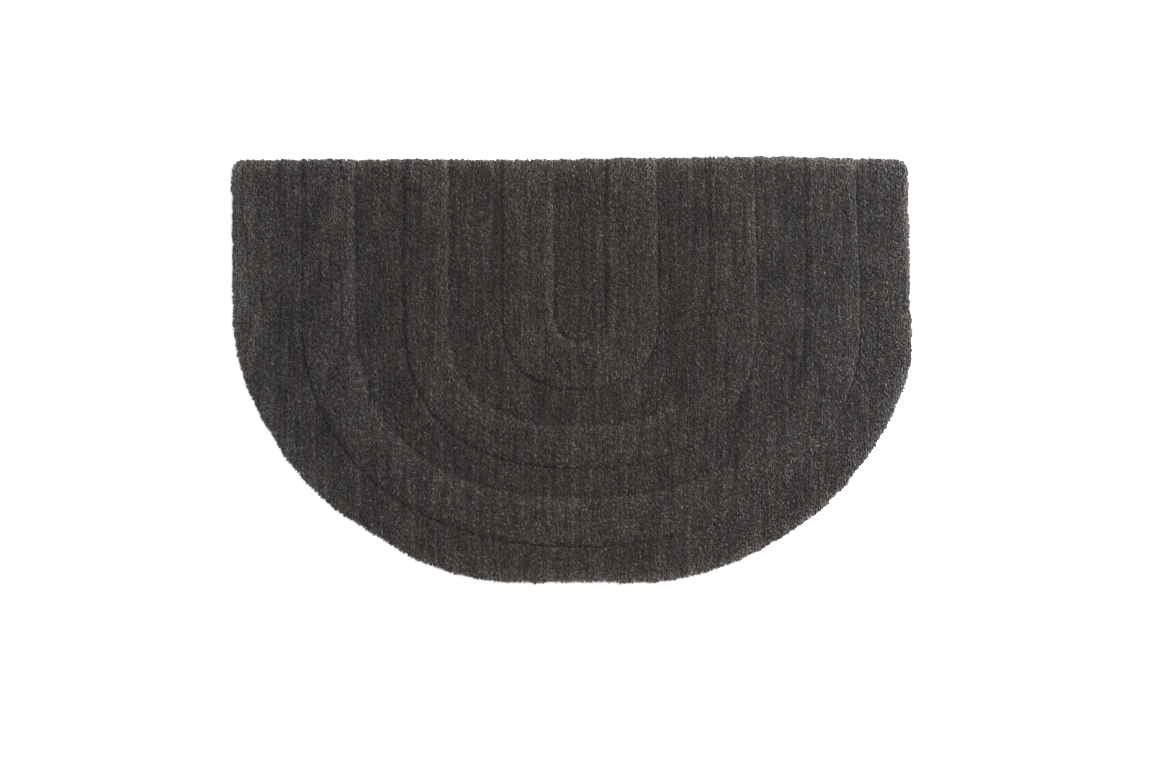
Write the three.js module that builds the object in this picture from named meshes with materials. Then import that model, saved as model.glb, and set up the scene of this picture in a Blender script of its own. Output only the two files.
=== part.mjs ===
// Half-round wool doormat with a carved pile, in millimetres.
// It lies flat with +Z up. Its straight edge faces +Y and its round foot faces -Y.
// The origin is the centre of the mat's bounding box, on the floor.
// Six nested arches part the pile into bands that are cut to two heights by turns.

import * as THREE from 'three';

// Pile heights above the floor, backing included
const LOW_PILE = 11;
const HIGH_PILE = 14;
const PILE_WAVE = 0.35;

// Hub line: above it the arches are straight legs, below it they are round feet
const HUB = { x: 11, y: 63 };
const LEG_LENGTH = 185;

// The straight edge isn't quite straight, and its two corners are a little round
const STRAIGHT_EDGE = [
  { x: -400, y: 245.5 },
  { x: -200, y: 246.5 },
  { x: -60, y: 246 },
  { x: 80, y: 248 },
  { x: 212, y: 249.5 },
  { x: 400, y: 247 },
];
const CORNER = 12;

// Arches from the inside out. left and right are half-widths at the hub line, drop is the depth
// of the foot below it, round is the power of its curve (2 is an ellipse), and leanLeft and
// leanRight are how far the legs come in by the straight edge.
const ARCHES = [
  { left: 31, right: 30, drop: 32, round: 2.0, leanLeft: 0, leanRight: 0 },
  { left: 91, right: 92, drop: 87, round: 2.35, leanLeft: -1, leanRight: 2 },
  { left: 154, right: 153, drop: 130, round: 2.5, leanLeft: -1, leanRight: 1 },
  { left: 206, right: 208, drop: 179, round: 2.4, leanLeft: 1, leanRight: 4 },
  { left: 263, right: 265, drop: 214, round: 2.35, leanLeft: -2, leanRight: 1 },
  { left: 326, right: 329, drop: 271, round: 2.2, leanLeft: 0, leanRight: 6 },
];
const OUTLINE = { left: 408.5, right: 388, drop: 313, round: 2.1, leanLeft: -2, leanRight: 3 };
const CENTRE_LINE = { left: 0, right: 0, drop: 0, round: 2, leanLeft: 0, leanRight: 0 };

// Hand-made unevenness of the outline's foot: how far it stands out of its curve.
// turn runs in degrees from the left leg, 0, to the right leg, 180.
const FOOT_BENDS = [
  { turn: 0, out: 0 },
  { turn: 19, out: -6.5 },
  { turn: 41, out: -1.5 },
  { turn: 65, out: 8.5 },
  { turn: 90, out: 0 },
  { turn: 114, out: 9 },
  { turn: 138, out: 5.5 },
  { turn: 155, out: 2 },
  { turn: 171, out: 5 },
  { turn: 180, out: 1 },
];

// Section of a step between two bands, from its low side (negative) to its high side.
// rise is a point's height over the low pile's top, so the step has a narrow trough at its foot.
const STEP = [
  { across: -8, rise: 0 },
  { across: -1.5, rise: -1.6 },
  { across: 0.8, rise: 0.4 },
  { across: 2.6, rise: 2.0 },
  { across: 8, rise: HIGH_PILE - LOW_PILE },
];

// Section of the rim: how far the pile's top falls, by distance in from the mat's edge
const RIM = [
  { inside: 14, fall: 0 },
  { inside: 4, fall: 1.8 },
  { inside: 1.2, fall: 4.2 },
  { inside: 0, fall: 7 },
];
const BACKING_INSET = 1;

// Stations along an arch: distances from the straight edge down a leg, then steps of the foot
const LEG_STATIONS = [0, 1.2, 4, 14, 38, 68, 98, 128, 158];
const FOOT_STEPS = 44;

// Smooth value between the rows of a table, read by one named column
function between(table, key, value, at) {
  const last = table.length - 1;
  if (at <= table[0][key]) return table[0][value];
  for (let i = 0; i < last; i++) {
    const here = table[i];
    const next = table[i + 1];
    if (at <= next[key]) {
      const t = (at - here[key]) / (next[key] - here[key]);
      const ease = (1 - Math.cos(Math.PI * t)) / 2;
      return here[value] + (next[value] - here[value]) * ease;
    }
  }
  return table[last][value];
}

// Places down the left leg, round the foot and up the right leg
function stations() {
  const leg = LEG_STATIONS.map((down) => ({ down }));
  const places = leg.map((place) => ({ ...place, side: -1 }));
  for (let i = 0; i <= FOOT_STEPS; i++) {
    places.push({ turn: (180 * i) / FOOT_STEPS });
  }
  const back = leg.map((place) => ({ ...place, side: 1 })).reverse();
  return places.concat(back);
}

// Foot of an arch as a rounded curve about the hub
function footPoint(arch, turn) {
  if (arch.drop === 0) return new THREE.Vector2(HUB.x, HUB.y);
  const angle = Math.PI + THREE.MathUtils.degToRad(turn);
  const wide = Math.abs(Math.cos(angle)) / (turn < 90 ? arch.left : arch.right);
  const deep = Math.abs(Math.sin(angle)) / arch.drop;
  const reach = (wide ** arch.round + deep ** arch.round) ** (-1 / arch.round);
  const out = reach + (arch === OUTLINE ? between(FOOT_BENDS, 'turn', 'out', turn) : 0);
  return new THREE.Vector2(HUB.x + out * Math.cos(angle), HUB.y + out * Math.sin(angle));
}

// Direction out of an arch's foot, square to its curve
function footNormal(arch, turn) {
  const nudge = 0.5;
  if (turn <= 0) return new THREE.Vector2(-1, 0);
  if (turn >= 180) return new THREE.Vector2(1, 0);
  const along = footPoint(arch, Math.min(turn + nudge, 180));
  along.sub(footPoint(arch, Math.max(turn - nudge, 0))).normalize();
  return new THREE.Vector2(along.y, -along.x);
}

// Point of an arch at a station, moved out by some millimetres
function archPoint(arch, place, out) {
  if (place.turn !== undefined) {
    return footPoint(arch, place.turn).addScaledVector(footNormal(arch, place.turn), out);
  }
  const half = place.side < 0 ? arch.left : arch.right;
  const lean = place.side < 0 ? arch.leanLeft : arch.leanRight;
  return legPoint(half + out, lean, place);
}

// Point of a leg: y runs from the straight edge down towards the hub line
function legPoint(half, lean, place) {
  const near = 1 - place.down / LEG_LENGTH;
  const x = HUB.x + place.side * (half - lean * near);
  const edge = between(STRAIGHT_EDGE, 'x', 'y', x);
  const y = place.down < RIM[0].inside ? edge - place.down : HUB.y + (edge - HUB.y) * near;
  return new THREE.Vector2(x, y);
}

// Rings from the centre line out. Each has a function for its points and its pile's top.
function rings() {
  const list = [{ at: (place) => archPoint(CENTRE_LINE, place, 0), top: LOW_PILE, inside: Infinity }];
  ARCHES.forEach((arch, i) => {
    const highOutside = i % 2 === 0;
    const section = highOutside ? STEP : [...STEP].reverse();
    for (const point of section) {
      const out = highOutside ? point.across : -point.across;
      const top = LOW_PILE + point.rise;
      list.push({ at: (place) => archPoint(arch, place, out), top, inside: Infinity });
    }
    const next = ARCHES[i + 1] ?? OUTLINE;
    const middle = (place) => archPoint(arch, place, 0).lerp(archPoint(next, place, 0), 0.5);
    list.push({ at: middle, top: highOutside ? HIGH_PILE : LOW_PILE, inside: Infinity });
  });
  for (const { inside } of RIM) {
    list.push({ at: (place) => archPoint(OUTLINE, place, -inside), top: LOW_PILE, inside });
  }
  return list;
}

// Draws a point that lies near one of the two corners in to a round corner
function roundCorner(p, place, inside) {
  if (place.down === undefined) return p;
  const u = Math.max(0, 1 - inside / CORNER);
  const v = Math.max(0, 1 - place.down / CORNER);
  p.x -= place.side * CORNER * u * (1 - Math.sqrt(1 - (v * v) / 2));
  p.y -= CORNER * v * (1 - Math.sqrt(1 - (u * u) / 2));
  return p;
}

// Slow waves in the pile's top, as the cut is never quite even
function wave(x, y) {
  return PILE_WAVE * (Math.sin(x / 23 + y / 61) + Math.sin(y / 19 - x / 47 + 1));
}

// A closed surface as it grows: corners are shared, and faces that have shrunk to a line drop out
class Shell {
  positions = [];
  faces = [];
  known = new Map();

  corner(x, y, z) {
    const key = [x, y, z].map((value) => value.toFixed(3)).join(' ');
    if (!this.known.has(key)) {
      this.known.set(key, this.positions.length / 3);
      this.positions.push(x, y, z);
    }
    return this.known.get(key);
  }

  face(a, b, c) {
    if (a !== b && b !== c && c !== a) this.faces.push(a, b, c);
  }

  quad(a, b, c, d) {
    this.face(a, b, c);
    this.face(a, c, d);
  }

  geometry() {
    const geometry = new THREE.BufferGeometry();
    geometry.setAttribute('position', new THREE.Float32BufferAttribute(this.positions, 3));
    geometry.setIndex(this.faces);
    geometry.computeVertexNormals();
    return geometry;
  }
}

// Corner of the pile's top on a ring at a place
function topCorner(shell, ring, place) {
  const p = roundCorner(ring.at(place), place, ring.inside);
  const inside = Math.min(ring.inside, place.down ?? Infinity);
  const atRim = inside < RIM[0].inside;
  const offset = atRim ? -RIM.find((row) => row.inside <= inside).fall : wave(p.x, p.y);
  return shell.corner(p.x, p.y, ring.top + offset);
}

// Corner of the flat underside below it, drawn in a little under the mat's edge
function underCorner(shell, ring, place) {
  const onOutline = ring.inside === 0;
  const p = onOutline ? archPoint(OUTLINE, place, -BACKING_INSET) : ring.at(place);
  roundCorner(p, place, ring.inside);
  if (place.down === 0) p.y -= BACKING_INSET;
  return shell.corner(p.x, p.y, 0);
}

// One closed solid: the pile's top over the rings and places, a wall round the rim and the underside
function matGeometry() {
  const shell = new Shell();
  const places = stations();
  const across = rings();
  const rim = across.length - 1;
  const end = places.length - 1;
  const top = across.map((ring) => places.map((place) => topCorner(shell, ring, place)));
  const under = (r, c) => underCorner(shell, across[r], places[c]);

  for (let c = 0; c < end; c++) {
    for (let r = 0; r < rim; r++) {
      shell.quad(top[r][c], top[r + 1][c], top[r + 1][c + 1], top[r][c + 1]);
    }
    shell.quad(under(rim, c), under(rim, c + 1), top[rim][c + 1], top[rim][c]);
  }

  // The straight edge's wall, and a fan on the underside from one step in to that edge
  for (let r = 0; r < rim; r++) {
    shell.quad(under(r + 1, end), under(r, end), top[r][end], top[r + 1][end]);
    shell.quad(under(r, 0), under(r + 1, 0), top[r + 1][0], top[r][0]);
    shell.face(under(0, 1), under(r + 1, 0), under(r, 0));
    shell.face(under(0, end - 1), under(r, end), under(r + 1, end));
  }
  shell.face(under(0, 1), under(rim, 1), under(rim, 0));
  shell.face(under(0, end - 1), under(rim, end), under(rim, end - 1));

  // The rest of the underside, straight from the centre line to the rim
  for (let c = 1; c < end - 1; c++) {
    shell.quad(under(0, c), under(0, c + 1), under(rim, c + 1), under(rim, c));
  }
  return shell.geometry();
}

// Moves a geometry so that its box is centred over the origin and keeps its height
function centreOnFloor(geometry) {
  geometry.computeBoundingBox();
  const centre = geometry.boundingBox.getCenter(new THREE.Vector3());
  return geometry.translate(-centre.x, -centre.y, 0);
}

const pile = new THREE.MeshStandardMaterial({ color: 0x413e3c, roughness: 0.95, metalness: 0 });
const mat = new THREE.Mesh(centreOnFloor(matGeometry()), pile);
mat.name = 'mat';

const doormat = new THREE.Group();
doormat.add(mat);

export default doormat;
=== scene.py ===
import math

import bpy
import numpy as np
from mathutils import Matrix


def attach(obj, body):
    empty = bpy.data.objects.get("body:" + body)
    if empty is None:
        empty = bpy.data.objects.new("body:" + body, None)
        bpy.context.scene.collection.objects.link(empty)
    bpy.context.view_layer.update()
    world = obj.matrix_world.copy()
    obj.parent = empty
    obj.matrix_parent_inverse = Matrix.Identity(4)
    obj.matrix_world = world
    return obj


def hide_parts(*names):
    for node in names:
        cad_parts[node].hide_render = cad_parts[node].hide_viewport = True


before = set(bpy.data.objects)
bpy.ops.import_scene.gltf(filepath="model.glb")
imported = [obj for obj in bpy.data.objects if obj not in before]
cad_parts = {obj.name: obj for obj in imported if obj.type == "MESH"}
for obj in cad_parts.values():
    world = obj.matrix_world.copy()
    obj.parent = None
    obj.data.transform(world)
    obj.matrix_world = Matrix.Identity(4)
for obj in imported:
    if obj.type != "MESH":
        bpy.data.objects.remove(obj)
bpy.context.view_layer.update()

# The mat's own sizes are in millimetres, as on the solid, and turn into metres when a mesh is made
MM = 0.001
SQUARE = [(-1, -1), (1, -1), (1, 1), (-1, 1)]
rng = np.random.default_rng(20)

# Pile heights above the floor
LOW_PILE = 11.0
HIGH_PILE = 14.0
PILE_WAVE = 0.35

# Hub line: above it the arches are straight legs, below it they are round feet
HUB_X, HUB_Y = 11.0, 63.0
LEG_LENGTH = 185
CORNER = 12.0
STRAIGHT_EDGE = {
    "x": [-400, -200, -60, 80, 212, 400],
    "y": [245.5, 246.5, 246, 248, 249.5, 247],
}

# Arches from the inside out: half-widths at the hub line, depth of the foot, power of its curve,
# and how far the legs come in by the straight edge
ARCHES = [
    {"left": 31, "right": 30, "drop": 32, "round": 2.0, "lean_left": 0, "lean_right": 0},
    {"left": 91, "right": 92, "drop": 87, "round": 2.35, "lean_left": -1, "lean_right": 2},
    {"left": 154, "right": 153, "drop": 130, "round": 2.5, "lean_left": -1, "lean_right": 1},
    {"left": 206, "right": 208, "drop": 179, "round": 2.4, "lean_left": 1, "lean_right": 4},
    {"left": 263, "right": 265, "drop": 214, "round": 2.35, "lean_left": -2, "lean_right": 1},
    {"left": 326, "right": 329, "drop": 271, "round": 2.2, "lean_left": 0, "lean_right": 6},
]
CENTRE_LINE = {"left": 0, "right": 0, "drop": 0.01, "round": 2, "lean_left": 0, "lean_right": 0}
OUTLINE = {"left": 408.5, "right": 388, "drop": 313, "round": 2.1, "lean_left": -2, "lean_right": 3}
FOOT_BENDS = {
    "turn": [0, 19, 41, 65, 90, 114, 138, 155, 171, 180],
    "out": [0, -6.5, -1.5, 8.5, 0, 9, 5.5, 2, 5, 1],
}

# Section of a step, from its low side to its high side: a narrow dark trough at the high pile's foot
STEP = {
    "across": [-9, -5, -2.4, -0.9, 0.5, 1.6, 3.4, 7, 12],
    "rise": [0, -0.1, -0.4, -1.3, -0.9, 0.5, 1.6, 2.6, HIGH_PILE - LOW_PILE],
}
STEP_WANDER = 0.8
# Between these two places in y the legs pass into the feet. In the feet, the steps of the 1st, 3rd and
# 5th arches are wider, and the troughs of the 2nd, 4th and 6th are deeper.
FOOT_Y = [-30, 70]
LEG_STEP_WIDTH, FOOT_STEP_WIDTH = 1.2, 2.6
FOOT_TROUGH = 1.5
TROUGH_CENTRE, TROUGH_WIDTH = -0.6, 1.3
TROUGH_SHARE, TROUGH_PATCHES = 0.75, 0.45
EDGE_LUMPS = 0.9
# Section of the rim: how far the pile's top falls, by distance in from the mat's edge
RIM = {
    "inside": [0, 0.8, 2.0, 4.0, 8.0, 14.0],
    "fall": [7.0, 4.6, 3.0, 1.6, 0.5, 0.0],
}
RIM_WIDTH = RIM["inside"][-1]

# The ground under the tufts: its stations down a leg and round a foot, and its steps between two arches
LEG_STATIONS = np.concatenate([[0, 0.8, 2, 4, 8, 14], np.arange(20, 177, 4.0)])
FOOT_STATIONS = 260
STEPS_BETWEEN = [0, 0.03, 0.06, 0.1, 0.2, 0.35, 0.5, 0.65, 0.8, 0.9, 0.94, 0.97]
GROUND_UNDER_TIPS = 3.0
GROUND_INSET = 2.6
THINNEST_GROUND = 1.2
WELD_DISTANCE = 0.02

# The pile: tufts stand in rows down the mat, and each is longer than it is wide
ROWS_REACH, TUFTS_REACH = 402, 252
ROW_PITCH = 1.92
TUFT_PITCH = 1.88
ROW_WANDER, TUFT_WANDER = 0.36, 0.45
TUFT_INSET = 0.4
TUFT_WIDE, TUFT_LONG, RIDGE_LONG = 1.0, 1.5, 0.62
TUFT_SIZES = (0.85, 1.2)
TUFT_ROOT, LOWEST_ROOT = 4.4, 0.6
ROW_RISE = 0.35
TOP_SPREAD, RIDGE_SPREAD = 0.35, 0.3
# Lean of a tuft's ridge as its mean and spread, across the row and along it
LEAN_ACROSS, LEAN_ALONG = (0, 0.45), (-0.3, 0.8)
ROOT_WANDER_X, ROOT_WANDER_Y, RIDGE_WANDER_X = 0.12, 0.2, 0.2
# Tufts by the mat's edge lean out over it
RIM_LEAN = {"inside": [0, 3, 7], "out": [1.8, 0.9, 0]}
TUFT_FACES = np.array([
    [0, 1, 4], [1, 2, 5], [1, 5, 4], [2, 3, 5], [3, 0, 4], [3, 4, 5], [0, 3, 2], [0, 2, 1],
])

# Yarn shades by share of the tufts: how light each is, and how warm
SHADES = {
    "share": [0.22, 0.50, 0.22, 0.06],
    "light": [0.57, 0.95, 1.38, 2.1],
    "warm": [0.03, 0.004, -0.02, -0.035],
}
LIGHT_SPREAD, WARM_SPREAD = 0.10, 0.004
# The mat is warmer in its middle and cooler at its sides, by distance from the centre
WARMTH_X = [60, 330]
MIDDLE_WARMTH, SIDE_WARMTH = 0.05, -0.035
BLUE_WARMTH = 0.3
# Shades that follow the photograph's brightness, so they hold painted light and painted shade as well as
# the yarn's
# own shade: each band from the core to the border, the rim, the wider edge and the left border's leg
# The low bands are darker: partly the pile's tone, partly painted shade from the high bands beside them
BAND_TONE_AND_PAINTED_SHADE = np.array([0.82, 1.0, 0.82, 1.0, 0.88, 1.04, 0.92])
# The tufts by the rim are lighter: a painted highlight on the rim's slope, stronger toward the lamp on the
# right and a little cooler
RIM_HIGHLIGHT, RIM_HIGHLIGHT_REACH = 2.3, 4.0
RIGHT_RIM_HIGHLIGHT, RIGHT_RIM_HIGHLIGHT_X = 1.6, [-100, 200]
RIM_HIGHLIGHT_COOLNESS = 0.05
# The border grows lighter toward the mat's edge: partly painted light, partly the yarn's tone
EDGE_LIGHT_AND_TONE, EDGE_LIGHT_REACH = 0.42, 30
# The left border's leg is lighter: partly painted light, partly the yarn's tone
LEFT_LIGHT_AND_TONE, LEFT_LIGHT_X, LEFT_LIGHT_Y = 0.55, [-390, -340], [-40, 90]
# Tufts in lower rows are darker and in higher rows lighter: painted shade in the grooves between rows
ROW_GROOVE_SHADE = 0.13
BRIGHTEST = 3.0
# The tufts' roots are darker than their ridges: painted shade deep in the pile
ROOT_PAINTED_SHADE = 0.78
# The ground under the tufts is darker: painted shade between the tufts, and the backing below takes the
# same colour
GROUND_PAINTED_SHADE = 0.55

# Colours of the wool before its shades, and how far its patches turn cool or warm
DARK_STRAND, LIGHT_STRAND = (0.0381, 0.0335, 0.0319), (0.0625, 0.0549, 0.0524)
COOL_PATCH, WARM_PATCH = (0.95, 1.0, 1.01), (1.05, 1.0, 0.975)

# Loose fibres that stand out of the rim, scattered over a rectangle and kept near the mat's edge
FIBRES_X, FIBRES_Y = 410, 260
FIBRE_COUNT_PER_MM2 = 1.6
FIBRE_ZONE = (0.3, 3.0)
FIBRE_WIDE = 0.22
FIBRE_REACH = (0.6, 1.9)
FIBRE_ROOT, FIBRE_SINK, LOWEST_FIBRE_ROOT = (0.25, 0.95), 0.8, 0.8
FIBRE_RISE, LOWEST_FIBRE_TIP = (-0.6, 3.2), 0.5
FIBRE_WANDER = 0.9
FIBRE_CORNERS = [(0.0, 1.0), (-0.9, -0.5), (0.9, -0.5)]
FIBRE_FACES = np.array([[0, 1, 3], [1, 2, 3], [2, 0, 3], [0, 2, 1]])
# The rim's loose fibres are far lighter than the pile: a painted highlight where they catch the light
FIBRE_HIGHLIGHT, FIBRE_SPREAD = 3.0, 0.25

# The camera: lens and sensor in millimetres, and the mat's width and place in the picture in pixels
LENS, SENSOR, CLIP_END = 85, 36, 50
PICTURE_PIXELS, MAT_PIXELS = 1170, 680
PIXELS_ASIDE, PIXELS_BELOW = 14, 21.5

# The mat as a sheet of cloth, in metres and square metres
MAT_WIDTH, MAT_DEPTH, MAT_AREA = 0.80, 0.50, 0.349

# The studio, in metres and watts
WORLD_LIGHT = 1.45
KEY_PLACE, KEY_SIZE, KEY_POWER = (1.75, 0.8, 1.0), 1.0, 150
FLOOR_HALF, FLOOR_DROP, FLOOR_SHADE = 6.0, 0.0003, 0.97


def eased(table, key, value, at):
    """Smooth values between the rows of a table"""
    keys, values = np.array(table[key], float), np.array(table[value], float)
    at = np.clip(at, keys[0], keys[-1])
    i = np.clip(np.searchsorted(keys, at, side="right") - 1, 0, len(keys) - 2)
    t = (at - keys[i]) / (keys[i + 1] - keys[i])
    return values[i] + (values[i + 1] - values[i]) * (1 - np.cos(np.pi * t)) / 2


def edge_y(x):
    """Place of the straight edge"""
    return eased(STRAIGHT_EDGE, "x", "y", x)


def foot_reach(arch, turn):
    """Distance from the hub to an arch's foot, by degrees from the left leg"""
    angle = np.radians(turn)
    half = np.where(turn < 90, arch["left"], arch["right"])
    power = arch["round"]
    wide = np.abs(np.cos(angle)) / half
    deep = np.abs(np.sin(angle)) / arch["drop"]
    out = (wide**power + deep**power) ** (-1 / power)
    if arch is OUTLINE:
        out = out + eased(FOOT_BENDS, "turn", "out", turn)
    return out


def out_of(arch, x, y):
    """Distance of points outside an arch, negative inside it"""
    dx, dy = x - HUB_X, y - HUB_Y
    left = dx < 0
    near = np.clip(dy / (edge_y(x) - HUB_Y), 0, 1)
    half = np.where(left, arch["left"], arch["right"])
    lean = np.where(left, arch["lean_left"], arch["lean_right"])
    turn = np.degrees(np.arctan2(-np.minimum(dy, 0), -dx))
    return np.where(dy > 0, np.abs(dx) - (half - lean * near), np.hypot(dx, dy) - foot_reach(arch, turn))


def inside_edge(x, y):
    """Distance in from the mat's edge, which is a little lumpy, with its two round corners"""
    lumps = np.sin(x / 5.3 + 1.4 * np.sin(x / 17)) + np.sin(y / 6.1 + 1.2 * np.sin(y / 21) + 2)
    side = -out_of(OUTLINE, x, y) - EDGE_LUMPS * 0.5 * (1 + lumps)
    top = edge_y(x) - y - EDGE_LUMPS * 0.5 * (1 + lumps)
    square = np.minimum(side, top)
    round_in = CORNER - np.hypot(CORNER - side, CORNER - top)
    return np.where((side < CORNER) & (top < CORNER), np.minimum(round_in, square), square)


def wave(x, y):
    """Slow waves in the pile's top, as the cut is never quite even"""
    return PILE_WAVE * (np.sin(x / 23 + y / 61) + np.sin(y / 19 - x / 47 + 1))


def row_lines(x, y):
    """Rows of pile that stand a little higher, 1, or lower, -1, in long stretches down the mat"""
    u = x + 1.2 * np.sin(y / 53 + x / 90)
    fine = np.sin(u / 1.15 + 2 * np.sin(u / 9) + 1.5 * np.sin(y / 24 + u / 9))
    wide = np.sin(u / 2.6 + 1.7 * np.sin(u / 23) + 1.2 * np.sin(y / 37 + u / 13))
    return 0.5 * (fine + wide)


def step_wander(x, y):
    """How far a step strays from its arch, from -1 to 1"""
    return np.sin(x / 4.7 + 2 * np.sin(y / 11)) * np.sin(y / 5.9 + 2 * np.sin(x / 13))


def trough_patches(x):
    """How deep the feet's troughs are, as they come and go along an arch"""
    waves = np.sin(x / 13 + 2 * np.sin(x / 37)) * np.sin(x / 7.3 + 1.5 * np.sin(x / 19) + 1)
    return TROUGH_SHARE + TROUGH_PATCHES * waves


def pile_top(x, y):
    """Height of the pile's top: two levels by turns, a trough at each step, and a round rim"""
    gaps = np.array([out_of(arch, x, y) for arch in ARCHES])
    nearest = np.argmin(np.abs(gaps), axis=0)
    gap = np.take_along_axis(gaps, nearest[None], axis=0)[0]
    across = np.where(nearest % 2 == 0, gap, -gap)
    across = across + STEP_WANDER * step_wander(x, y)
    foot = np.interp(y, FOOT_Y, [1, 0])
    width = np.where(nearest % 2 == 0, LEG_STEP_WIDTH + (FOOT_STEP_WIDTH - LEG_STEP_WIDTH) * foot, 1)
    rise = np.interp(across / width, STEP["across"], STEP["rise"])
    trough = trough_patches(x) * np.exp(-(((across - TROUGH_CENTRE) / TROUGH_WIDTH) ** 2))
    rise = rise - np.where(nearest % 2 == 1, FOOT_TROUGH * foot * trough, 0)
    fall = np.interp(inside_edge(x, y), RIM["inside"], RIM["fall"])
    return LOW_PILE + rise - fall + wave(x, y)


def band_of(x, y):
    """Number of the band that each point lies in, from 0 at the core to 6 at the border"""
    return sum((out_of(arch, x, y) > 0).astype(int) for arch in ARCHES)


def mesh_object(name, points, faces):
    """A mesh from arrays of points, in millimetres, and of triangles"""
    mesh = bpy.data.meshes.new(name)
    mesh.vertices.add(len(points))
    mesh.vertices.foreach_set("co", (points * MM).astype(np.float32).ravel())
    mesh.loops.add(faces.size)
    mesh.loops.foreach_set("vertex_index", faces.astype(np.int32).ravel())
    mesh.polygons.add(len(faces))
    mesh.polygons.foreach_set("loop_start", np.arange(0, faces.size, 3, dtype=np.int32))
    mesh.update(calc_edges=True)
    piece = bpy.data.objects.new(name, mesh)
    bpy.context.scene.collection.objects.link(piece)
    return piece


def paint(piece, tint):
    """Keeps each point's shade on the mesh: the yarn's tone with its painted light and shade"""
    layer = piece.data.color_attributes.new(name="yarn", type="FLOAT_COLOR", domain="POINT")
    colours = np.column_stack([tint, np.ones(len(tint))]).astype(np.float32)
    layer.data.foreach_set("color", colours.ravel())


def plan_map(piece):
    """A map of the piece as seen from above, for its colours"""
    mesh = piece.data
    points = np.empty(len(mesh.vertices) * 3, np.float32)
    mesh.vertices.foreach_get("co", points)
    points = points.reshape(-1, 3)[:, :2]
    low, high = points.min(axis=0), points.max(axis=0)
    flat = 0.01 + 0.98 * (points - low) / (high - low).max()
    corners = np.empty(len(mesh.loops), np.int32)
    mesh.loops.foreach_get("vertex_index", corners)
    layer = mesh.uv_layers.new(name="OFBake")
    layer.data.foreach_set("uv", flat[corners].astype(np.float32).ravel())


def ground_line(arch):
    """Points of an arch on the ground: down the left leg, round the foot and up the right leg"""
    legs = GROUND_INSET + LEG_STATIONS
    inset = GROUND_INSET if arch is OUTLINE else 0
    near = 1 - legs / LEG_LENGTH
    columns = []
    for side, half, lean in ((-1, arch["left"], arch["lean_left"]), (1, arch["right"], arch["lean_right"])):
        x = HUB_X + side * (half - inset - lean * near)
        y = np.where(legs < RIM_WIDTH, edge_y(x) - legs, HUB_Y + (edge_y(x) - HUB_Y) * near)
        if arch is OUTLINE:
            over = np.maximum(CORNER + GROUND_INSET - legs, 0)
            x = x - side * (CORNER - np.sqrt(np.maximum(CORNER**2 - over**2, 0)))
        columns.append(np.column_stack([x, y]))
    turns = np.linspace(0, 180, FOOT_STATIONS)
    angle = np.pi + np.radians(turns)
    reach = foot_reach(arch, turns) - inset
    foot = np.column_stack([HUB_X + reach * np.cos(angle), HUB_Y + reach * np.sin(angle)])
    return np.concatenate([columns[0], foot, columns[1][::-1]])


def ground_piece():
    """The backing and the pile's body: one closed sheet, a little lower than the tips of the tufts"""
    lines = [ground_line(arch) for arch in (CENTRE_LINE, *ARCHES, OUTLINE)]
    rows = []
    for inner, outer in zip(lines, lines[1:]):
        rows += [inner + (outer - inner) * t for t in STEPS_BETWEEN]
    grid = np.array([*rows, lines[-1]])
    x, y = grid[..., 0], grid[..., 1]
    top = np.maximum(pile_top(x, y) - GROUND_UNDER_TIPS, THINNEST_GROUND)
    upper = np.column_stack([x.ravel(), y.ravel(), top.ravel()])
    lower = np.column_stack([x.ravel(), y.ravel(), np.zeros(x.size)])

    # Faces above, the same faces turned over below, and a wall round the open sides
    cells = np.arange(x.size).reshape(x.shape)
    a, b = cells[:-1, :-1].ravel(), cells[1:, :-1].ravel()
    c, d = cells[1:, 1:].ravel(), cells[:-1, 1:].ravel()
    above = np.concatenate([np.column_stack([a, b, c]), np.column_stack([a, c, d])])
    below = above[:, ::-1] + x.size
    rim = np.concatenate([cells[-1, :], cells[-2::-1, -1], cells[1:-1, 0]])
    after = np.roll(rim, -1)
    wall = np.concatenate([
        np.column_stack([rim + x.size, after + x.size, after]),
        np.column_stack([rim + x.size, after, rim]),
    ])
    piece = mesh_object("mat_ground", np.concatenate([upper, lower]), np.concatenate([above, below, wall]))
    weld(piece)
    # Painted shade: the ground between the tufts is dark
    paint(piece, np.full((len(piece.data.vertices), 3), GROUND_PAINTED_SHADE))
    plan_map(piece)
    return piece


def weld(piece):
    """Joins the doubled points along the centre line and drops the faces that shrink away there"""
    piece.data.validate()
    tool = piece.modifiers.new("weld", "WELD")
    tool.merge_threshold = WELD_DISTANCE * MM
    bpy.context.view_layer.objects.active = piece
    piece.select_set(True)
    bpy.ops.object.modifier_apply(modifier="weld")
    piece.select_set(False)


def tuft_places():
    """Places of the tufts, in loose rows down the mat"""
    xs = np.arange(-ROWS_REACH, ROWS_REACH, ROW_PITCH)
    ys = np.arange(-TUFTS_REACH, TUFTS_REACH, TUFT_PITCH)
    x, y = np.meshgrid(xs, ys, indexing="ij")
    y = y + rng.uniform(0, TUFT_PITCH, len(xs))[:, None]
    x = x + rng.normal(0, ROW_WANDER, x.shape)
    y = y + rng.normal(0, TUFT_WANDER, x.shape)
    x, y = x.ravel(), y.ravel()
    keep = inside_edge(x, y) > TUFT_INSET
    return x[keep], y[keep]


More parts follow.
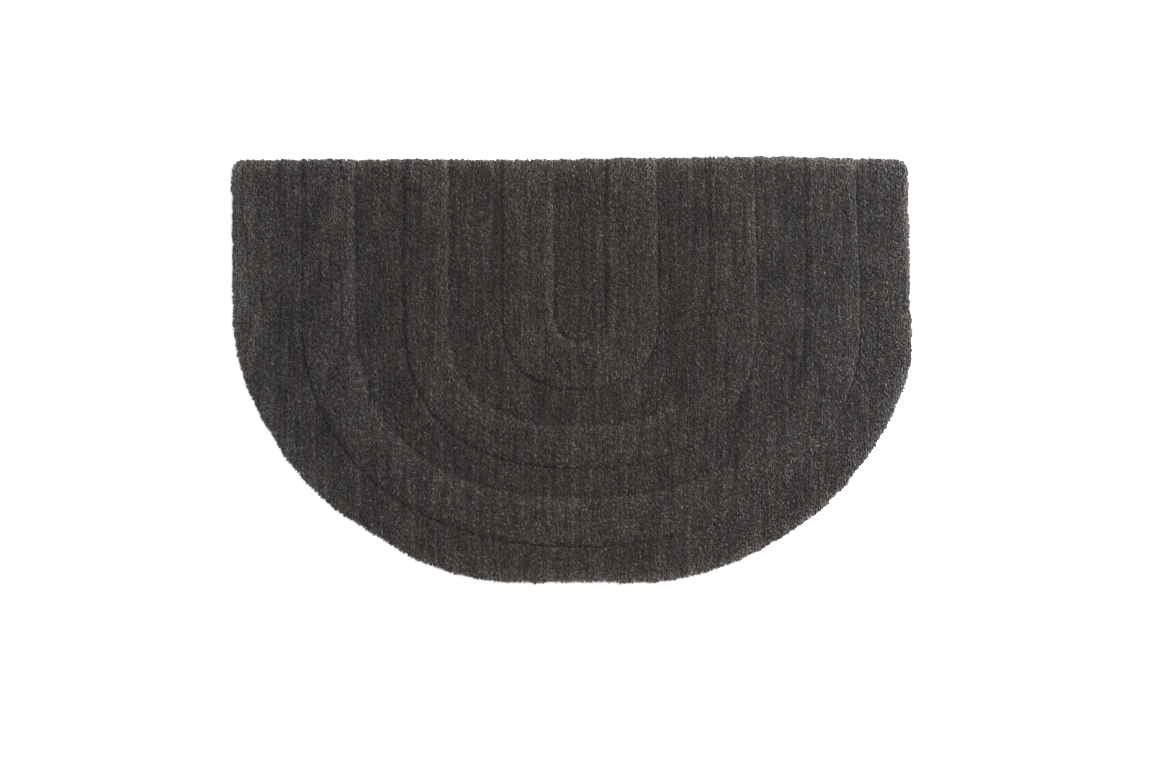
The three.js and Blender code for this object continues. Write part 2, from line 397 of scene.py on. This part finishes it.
def tints_with_painted_light(x, y, bands):
    """Each tuft's shade: heathered yarns, darker in the low bands, partly painted shade, and lighter at the
    rim, a painted highlight, with more painted light and shade at the edge, the left border and the rows
    """
    count = len(x)
    kind = rng.choice(len(SHADES["share"]), count, p=SHADES["share"])
    light = np.array(SHADES["light"])[kind] * rng.lognormal(0, LIGHT_SPREAD, count)
    inside = inside_edge(x, y)
    # The low bands darker: partly the pile's tone, partly painted shade
    light = light * BAND_TONE_AND_PAINTED_SHADE[bands]
    # The left border's leg lighter: partly painted light, partly the yarn's tone
    left = np.interp(x, LEFT_LIGHT_X, [1, 0]) * np.interp(y, LEFT_LIGHT_Y, [0, 1])
    light = light * (1 + LEFT_LIGHT_AND_TONE * left)
    # Painted highlight: tufts near the edge are lighter, more so on the right, and less warm
    rim = np.exp(-inside / RIM_HIGHLIGHT_REACH)
    right = np.interp(x, RIGHT_RIM_HIGHLIGHT_X, [1, RIGHT_RIM_HIGHLIGHT])
    # The border lighter toward the edge: partly painted light, partly the yarn's tone
    light = light * (1 + RIM_HIGHLIGHT * right * rim + EDGE_LIGHT_AND_TONE * np.exp(-inside / EDGE_LIGHT_REACH))
    # Painted shade: lower rows darker, higher rows lighter
    light = np.minimum(light * (1 + ROW_GROOVE_SHADE * row_lines(x, y)), BRIGHTEST)
    warm = np.array(SHADES["warm"])[kind] + rng.normal(0, WARM_SPREAD, count)
    warm = warm + np.interp(np.abs(x), WARMTH_X, [MIDDLE_WARMTH, SIDE_WARMTH]) - RIM_HIGHLIGHT_COOLNESS * rim
    return light[:, None] * np.column_stack([1 + warm, np.ones(count), 1 - BLUE_WARMTH * warm])


def tuft_piece(name, x, y, tints):
    """Tufts as closed wedges: a root in the ground and a short ridge along the row that leans"""
    count = len(x)
    inside = inside_edge(x, y)
    top = pile_top(x, y) + ROW_RISE * row_lines(x, y) + rng.normal(0, TOP_SPREAD, count)
    root_z = np.maximum(top - TUFT_ROOT, LOWEST_ROOT)
    out_x, out_y = lean_out(x, y, inside)
    lean_x = rng.normal(*LEAN_ACROSS, count) + out_x
    lean_y = rng.normal(*LEAN_ALONG, count) + out_y
    size = rng.uniform(*TUFT_SIZES, count)
    points = np.empty((count, 6, 3))
    for k, (across, along) in enumerate(SQUARE):
        points[:, k, 0] = x + across * TUFT_WIDE * size + rng.normal(0, ROOT_WANDER_X, count)
        points[:, k, 1] = y + along * TUFT_LONG * size + rng.normal(0, ROOT_WANDER_Y, count)
        points[:, k, 2] = root_z
    for k, along in ((4, -1), (5, 1)):
        points[:, k, 0] = x + lean_x + rng.normal(0, RIDGE_WANDER_X, count)
        points[:, k, 1] = y + lean_y + along * RIDGE_LONG * size
        points[:, k, 2] = top + rng.normal(0, RIDGE_SPREAD, count)
    faces = (6 * np.arange(count)[:, None, None] + TUFT_FACES[None]).reshape(-1, 3)
    piece = mesh_object(name, points.reshape(-1, 3), faces)
    # Painted shade: each tuft's root points are darker than its ridge
    depth = np.array([ROOT_PAINTED_SHADE] * 4 + [1.0] * 2)
    paint(piece, (tints[:, None] * depth[None, :, None]).reshape(-1, 3))
    plan_map(piece)
    return piece


def lean_out(x, y, inside):
    """How far tufts by the mat's edge lean out over it, in x and in y"""
    step = 1.0
    grad_x = inside_edge(x + step, y) - inside_edge(x - step, y)
    grad_y = inside_edge(x, y + step) - inside_edge(x, y - step)
    size = np.maximum(np.hypot(grad_x, grad_y), 1e-6)
    amount = np.interp(inside, RIM_LEAN["inside"], RIM_LEAN["out"])
    return -grad_x / size * amount, -grad_y / size * amount


def rim_fibres():
    """Loose wool fibres round the rim: thin closed spikes that stand out of the pile"""
    area = 4 * FIBRES_X * FIBRES_Y
    tries = int(area * FIBRE_COUNT_PER_MM2)
    x, y = rng.uniform(-FIBRES_X, FIBRES_X, tries), rng.uniform(-FIBRES_Y, FIBRES_Y, tries)
    inside = inside_edge(x, y)
    keep = (inside > FIBRE_ZONE[0]) & (inside < FIBRE_ZONE[1])
    x, y, inside = x[keep], y[keep], inside[keep]
    count = len(x)
    out_x, out_y = lean_out(x, y, inside)
    reach = rng.uniform(*FIBRE_REACH, count)
    top = pile_top(x, y)
    root_z = np.maximum(top * rng.uniform(*FIBRE_ROOT, count) - FIBRE_SINK, LOWEST_FIBRE_ROOT)
    tip_z = np.maximum(root_z + rng.uniform(*FIBRE_RISE, count), LOWEST_FIBRE_TIP)
    tip_x = x + out_x * reach + rng.normal(0, FIBRE_WANDER, count)
    tip_y = y + out_y * reach + rng.normal(0, FIBRE_WANDER, count)
    points = np.empty((count, 4, 3))
    for k, (across, along) in enumerate(FIBRE_CORNERS):
        points[:, k] = np.column_stack([x + across * FIBRE_WIDE, y + along * FIBRE_WIDE, root_z])
    points[:, 3] = np.column_stack([tip_x, tip_y, tip_z])
    faces = (4 * np.arange(count)[:, None, None] + FIBRE_FACES[None]).reshape(-1, 3)
    piece = mesh_object("rim_fibres", points.reshape(-1, 3), faces)
    # Painted highlight: the fibres are far lighter than the pile, and a little cooler
    light = FIBRE_HIGHLIGHT * rng.lognormal(0, FIBRE_SPREAD, count)
    paint(piece, np.repeat(light[:, None] * np.array([1 - RIM_HIGHLIGHT_COOLNESS, 1, 1]), 4, axis=0))
    plan_map(piece)
    return piece


class Nodes:
    """Short way to add and join a material's nodes"""

    def __init__(self, material):
        material.use_nodes = True
        self.tree = material.node_tree
        self.shader = self.tree.nodes["Principled BSDF"]

    def add(self, kind, settings=None, **inputs):
        """A node with its settings and its inputs, which are values or other nodes' outputs"""
        node = self.tree.nodes.new(kind)
        for key, value in (settings or {}).items():
            setattr(node, key, value)
        for key, value in inputs.items():
            socket = node.inputs[key.replace("_", " ")]
            if isinstance(value, bpy.types.NodeSocket):
                self.tree.links.new(value, socket)
            else:
                socket.default_value = value
        return node

    def noise(self, places, stretch, scale, detail, roughness):
        """Noise in the mat's own place, drawn out by stretch"""
        mapped = self.add("ShaderNodeMapping", Vector=places, Scale=stretch)
        noise = self.add(
            "ShaderNodeTexNoise", Vector=mapped.outputs[0], Scale=scale, Detail=detail, Roughness=roughness
        )
        return noise.outputs["Fac"]

    def ramp(self, factor, stops):
        """Colours between two or more stops"""
        node = self.add("ShaderNodeValToRGB", Fac=factor)
        while len(node.color_ramp.elements) < len(stops):
            node.color_ramp.elements.new(0.5)
        for element, (place, colour) in zip(node.color_ramp.elements, stops):
            element.position = place
            element.color = (*colour, 1)
        return node.outputs["Color"]

    def swing(self, factor, low, high, depth):
        """A grey that goes from 1 - depth to 1 + depth as the factor goes from low to high"""
        return self.ramp(factor, [(low, (1 - depth,) * 3), (high, (1 + depth,) * 3)])

    def multiply(self, a, b):
        node = self.add("ShaderNodeMix", {"data_type": "RGBA", "blend_type": "MULTIPLY"})
        node.inputs[0].default_value = 1.0
        self.tree.links.new(a, node.inputs[6])
        self.tree.links.new(b, node.inputs[7])
        return node.outputs[2]


def pile_material():
    """Heathered charcoal wool: each tuft's shade with its painted light and shade, in soft warm and cool
    patches and faint rows
    """
    material = bpy.data.materials.new("wool_pile")
    n = Nodes(material)
    places = n.add("ShaderNodeTexCoord").outputs["Object"]
    # The yarn colour holds painted highlights and painted shade as well as the yarn's tone
    yarn = n.add("ShaderNodeAttribute", {"attribute_name": "yarn"}).outputs["Color"]
    fine = n.noise(places, stretch=(1, 0.5, 0.5), scale=700, detail=2, roughness=0.6)
    strand = n.ramp(fine, [(0.3, DARK_STRAND), (0.7, LIGHT_STRAND)])
    patch = n.noise(places, stretch=(1, 0.4, 1), scale=70, detail=3, roughness=0.6)
    warm = n.ramp(patch, [(0.34, COOL_PATCH), (0.66, WARM_PATCH)])
    cloud = n.noise(places, stretch=(1.3, 0.7, 1), scale=30, detail=3, roughness=0.65)
    dull = n.swing(cloud, low=0.34, high=0.66, depth=0.17)
    rows = n.noise(places, stretch=(1, 0.14, 1), scale=105, detail=3, roughness=0.6)
    shade = n.swing(rows, low=0.32, high=0.68, depth=0.21)
    colour = strand
    for layer in (yarn, warm, dull, shade):
        colour = n.multiply(colour, layer)
    n.tree.links.new(colour, n.shader.inputs["Base Color"])
    n.shader.inputs["Roughness"].default_value = 0.9
    n.shader.inputs["Specular IOR Level"].default_value = 0.2
    n.shader.inputs["Sheen Weight"].default_value = 0.05
    n.shader.inputs["Sheen Roughness"].default_value = 0.5
    fibre = n.noise(places, stretch=(1, 1, 1), scale=1500, detail=2, roughness=0.6)
    bump = n.add("ShaderNodeBump", Strength=0.4, Distance=0.0005, Height=fibre)
    n.tree.links.new(bump.outputs[0], n.shader.inputs["Normal"])
    return material


def studio_floor():
    """A plain white floor, a hair below the mat"""
    corners = [(x * FLOOR_HALF, y * FLOOR_HALF, 0) for x, y in SQUARE]
    mesh = bpy.data.meshes.new("floor")
    mesh.from_pydata(corners, [], [(0, 1, 2, 3)])
    floor = bpy.data.objects.new("floor", mesh)
    floor.location.z = -FLOOR_DROP
    bpy.context.scene.collection.objects.link(floor)
    material = bpy.data.materials.new("studio_floor")
    n = Nodes(material)
    n.shader.inputs["Base Color"].default_value = (FLOOR_SHADE, FLOOR_SHADE, FLOOR_SHADE, 1)
    n.shader.inputs["Roughness"].default_value = 0.8
    floor.data.materials.append(material)


def camera():
    """Straight above the mat, which lies a little left of and above the picture's centre"""
    metres_per_pixel = MAT_WIDTH / MAT_PIXELS
    height = PICTURE_PIXELS * metres_per_pixel * LENS / SENSOR
    data = bpy.data.cameras.new("camera")
    data.lens = LENS
    data.sensor_width = SENSOR
    data.clip_end = CLIP_END
    view = bpy.data.objects.new("camera", data)
    view.location = (PIXELS_ASIDE * metres_per_pixel, -(PIXELS_BELOW * metres_per_pixel), height)
    bpy.context.scene.collection.objects.link(view)
    bpy.context.scene.camera = view


def light(name, place, size, power):
    """A soft square light that faces the mat"""
    data = bpy.data.lights.new(name, "AREA")
    data.size = size
    data.energy = power
    lamp = bpy.data.objects.new(name, data)
    lamp.location = place
    away = math.atan2(math.hypot(place[0], place[1]), place[2])
    lamp.rotation_euler = (away, 0, math.atan2(place[1], place[0]) + math.pi / 2)
    bpy.context.scene.collection.objects.link(lamp)


def studio():
    """Even white light all round and one soft lamp at the upper right"""
    scene = bpy.context.scene
    scene.view_settings.view_transform = "Standard"
    world = bpy.data.worlds.new("studio")
    world.use_nodes = True
    background = world.node_tree.nodes["Background"]
    background.inputs["Color"].default_value = (1, 1, 1, 1)
    background.inputs["Strength"].default_value = WORLD_LIGHT
    scene.world = world
    light("key", KEY_PLACE, KEY_SIZE, KEY_POWER)


def main():
    """The studio, the ground, the tufts band by band and the rim's fibres, all of the same wool"""
    camera()
    studio()
    studio_floor()
    wool = pile_material()
    ground = ground_piece()
    x, y = tuft_places()
    bands = band_of(x, y)
    tints = tints_with_painted_light(x, y, bands)
    pieces = [ground]
    for band in range(len(ARCHES) + 1):
        here = bands == band
        pieces.append(tuft_piece(f"pile_band_{band}", x[here], y[here], tints[here]))
    pieces.append(rim_fibres())
    for piece in pieces:
        piece.data.materials.append(wool)
        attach(piece, "root")
        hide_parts("mat")


main()
